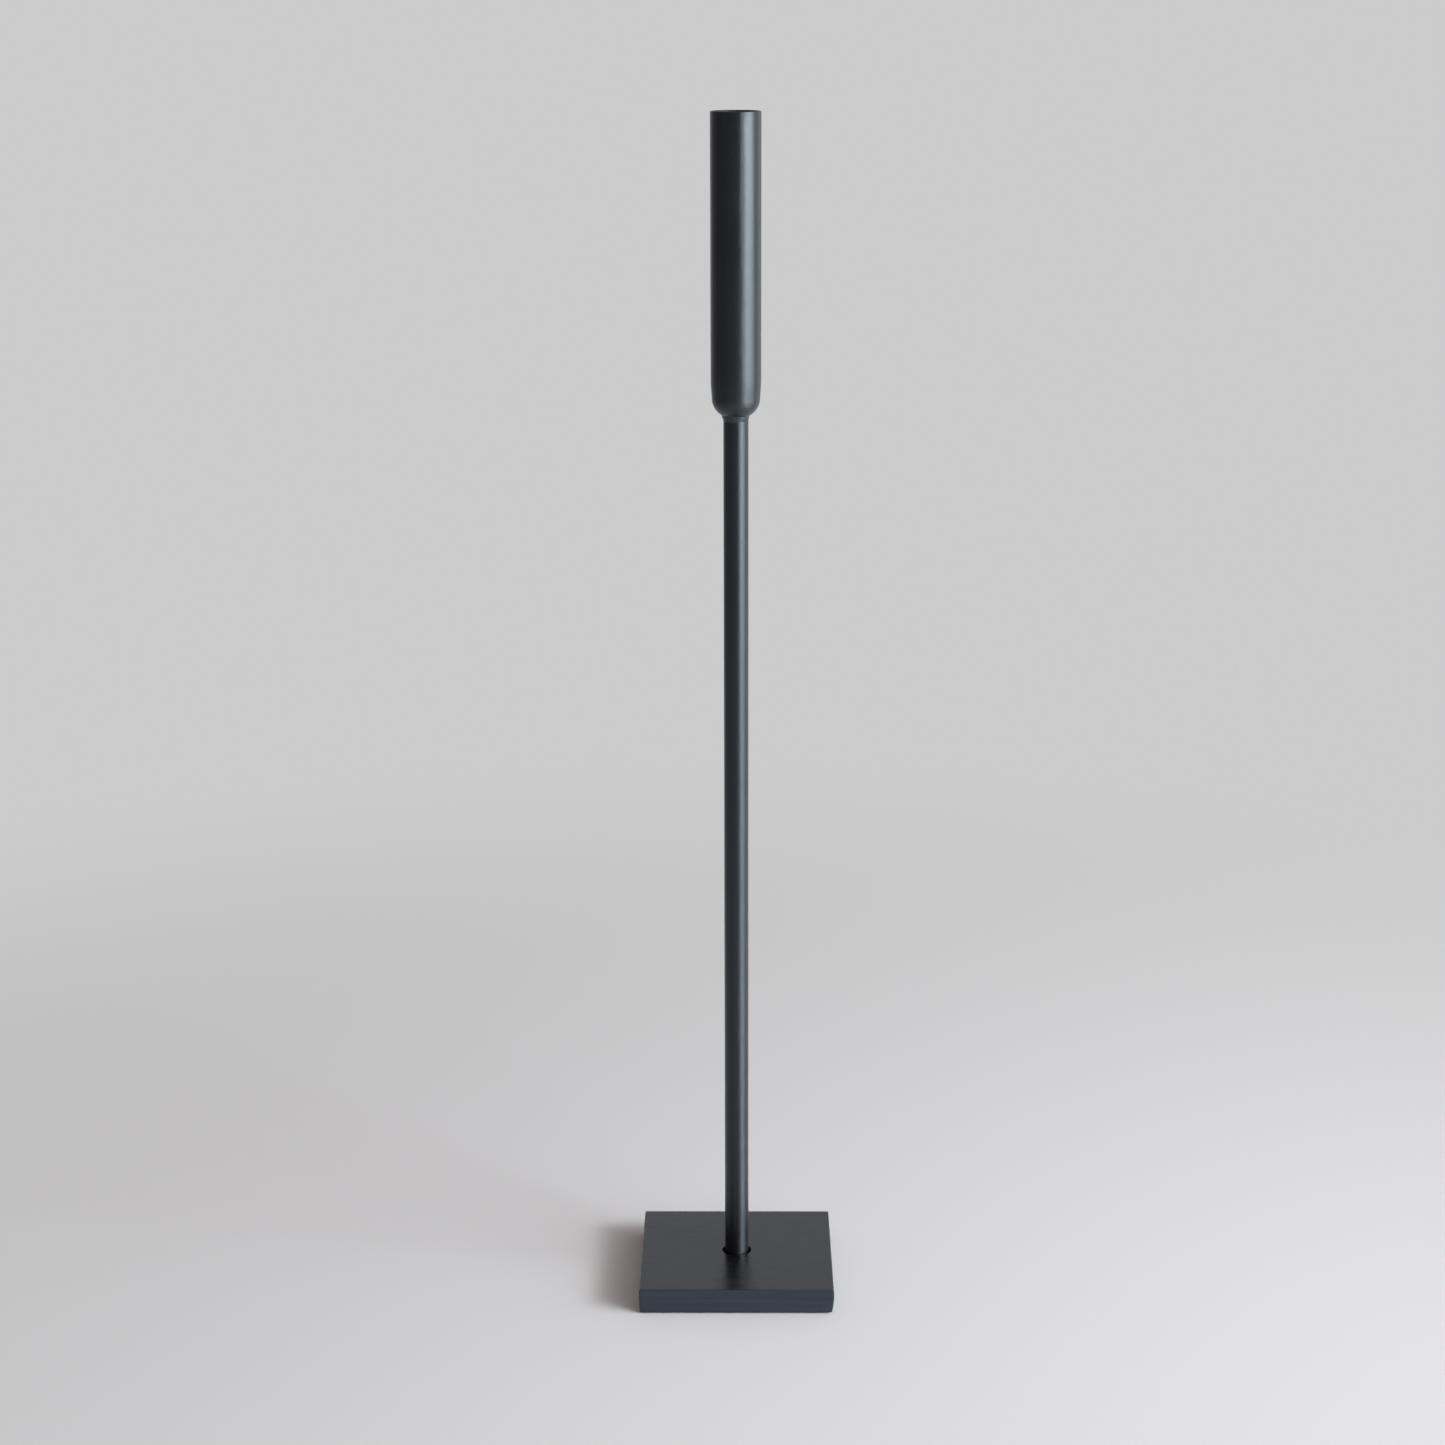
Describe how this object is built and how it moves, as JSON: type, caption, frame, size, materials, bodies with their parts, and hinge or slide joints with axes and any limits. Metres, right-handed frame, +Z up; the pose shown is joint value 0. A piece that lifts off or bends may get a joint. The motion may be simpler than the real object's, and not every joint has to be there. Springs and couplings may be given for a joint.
{
  "type": "taper candle stand",
  "caption": "Tall slim candle stand: a square steel base plate, an upright round bar and a long tubular cup that holds one taper candle.",
  "frame": {"origin": "centre of the underside of the felt pads, on the surface the stand rests on, under the stem's axis", "axes": "+Z up along the stem towards the candle; X across the plate between its rolled edges; -Y is the front, a cut end of the plate"},
  "size_m": [0.1024, 0.1016, 0.6157],
  "materials": {
    "black_lacquered_steel": "satin",
    "black_oxide_steel": "satin",
    "felt": "matte"
  },
  "bodies": {
    "root": {"base_plate": "black_lacquered_steel", "stem_rod": "black_lacquered_steel", "candle_cup": "black_lacquered_steel", "cup_weld": "black_lacquered_steel", "candle_stop": "black_lacquered_steel", "stem_screw": "black_oxide_steel", "foot_pad_front_left": "felt", "foot_pad_front_right": "felt", "foot_pad_rear_left": "felt", "foot_pad_rear_right": "felt"}
  },
  "joints": []
}
